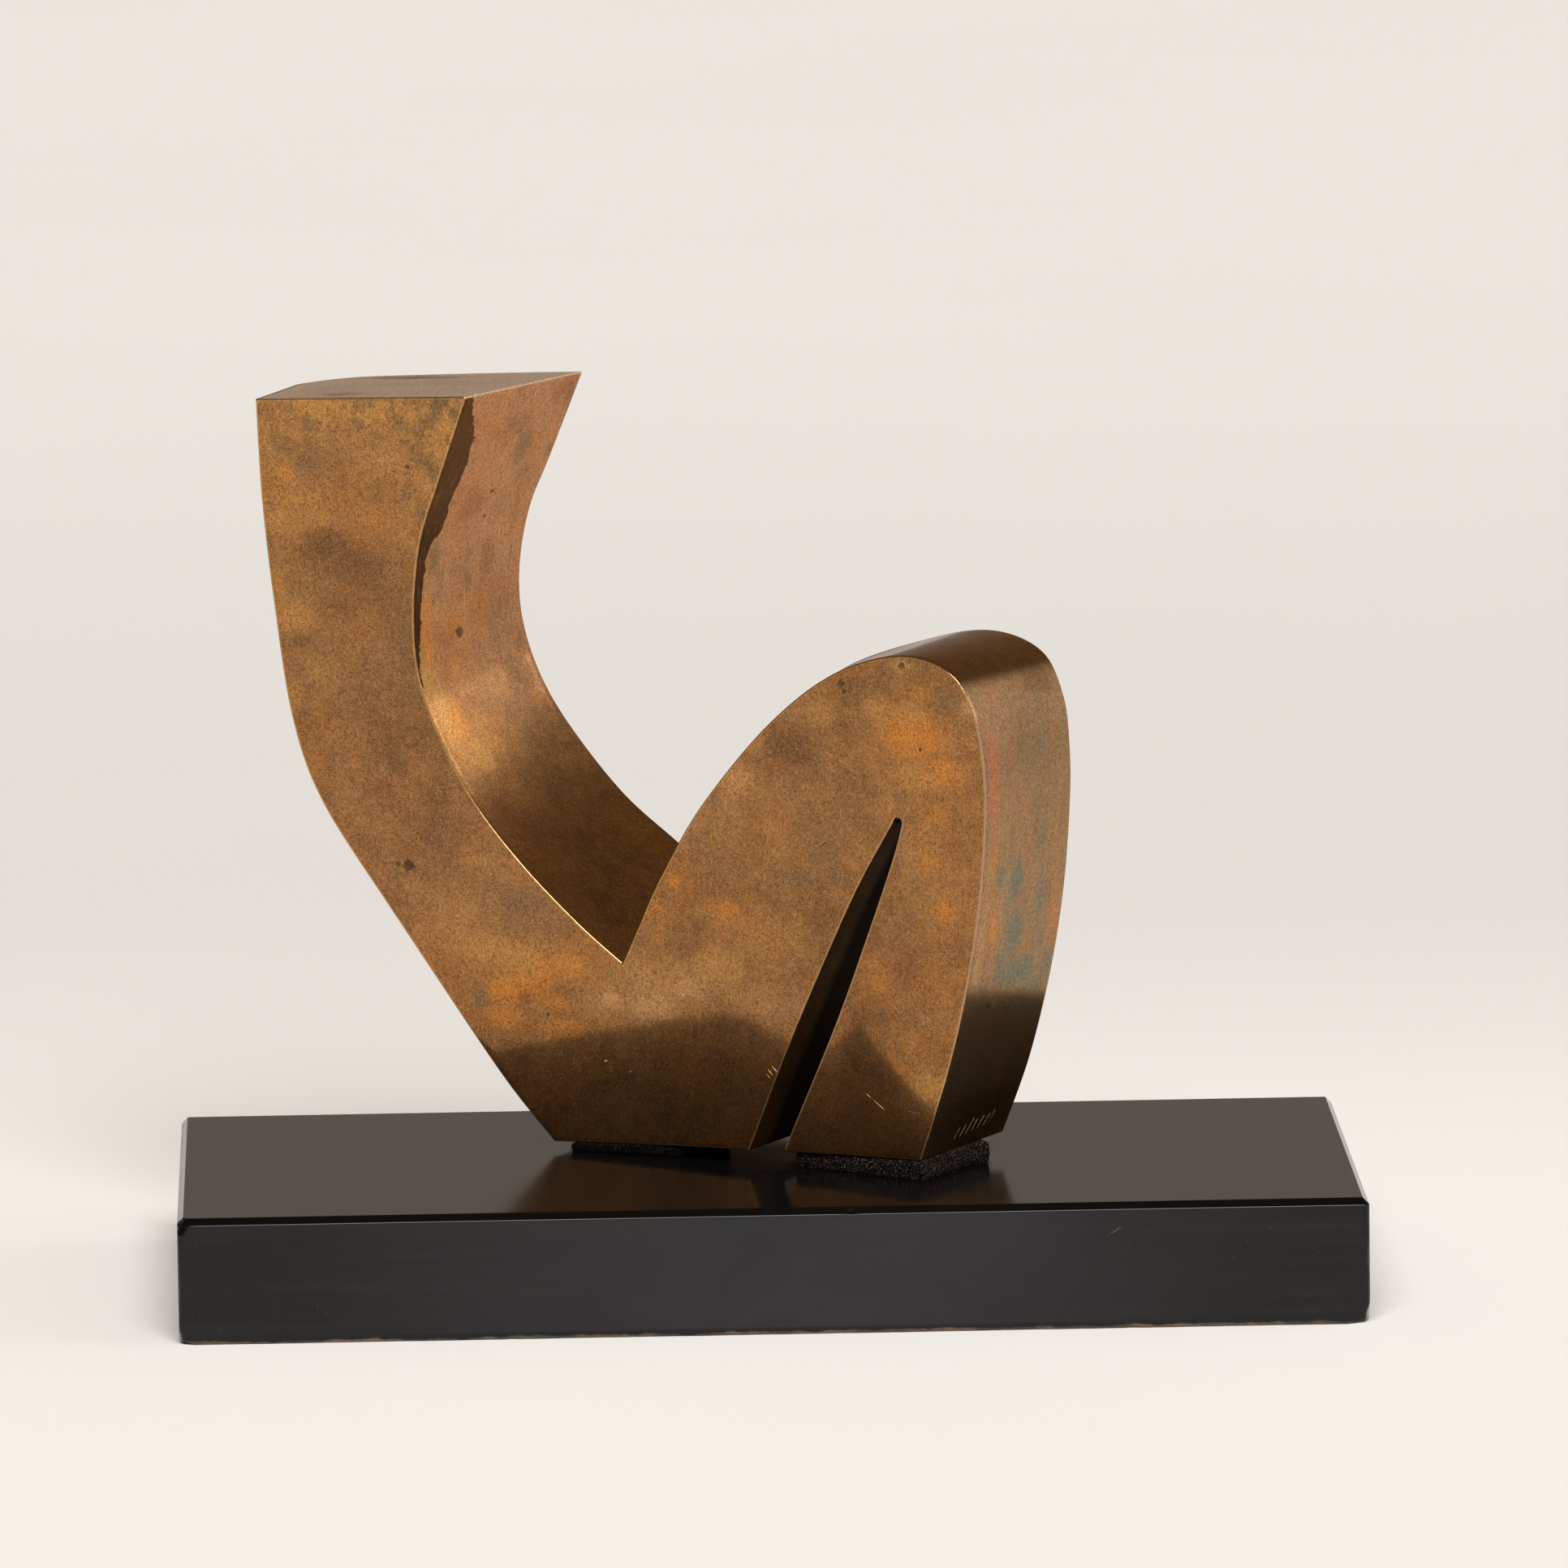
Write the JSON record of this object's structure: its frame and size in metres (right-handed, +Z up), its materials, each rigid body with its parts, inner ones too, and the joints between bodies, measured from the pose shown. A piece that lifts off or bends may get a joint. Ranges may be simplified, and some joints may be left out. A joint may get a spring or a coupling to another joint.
{
  "type": "abstract bronze bather sculpture on a wooden base",
  "caption": "Small abstract seated bather in worn golden-brown bronze, leaning torso and raised knee in one slab, on felt pads on a black wooden block.",
  "frame": {"origin": "middle of the wooden block's underside, the plane that the work stands on", "axes": "+X along the block to the right as seen from the front, +Y across the block away from the viewer, +Z up"},
  "size_m": [0.28, 0.1483, 0.2122],
  "materials": {
    "bronze": "worn golden-brown patina, satin polished, mottled and speckled, with pale rubbed edges",
    "black_wood": "ebonised wood, satin lacquer, fine grain, lightly scratched, worn brown along the lower edges",
    "felt": "grey-brown wool felt with frayed edges"
  },
  "bodies": {
    "root": {"bronze_bather": "bronze", "felt_pad_left": "felt", "felt_pad_right": "felt", "wood_base": "black_wood"}
  },
  "joints": []
}
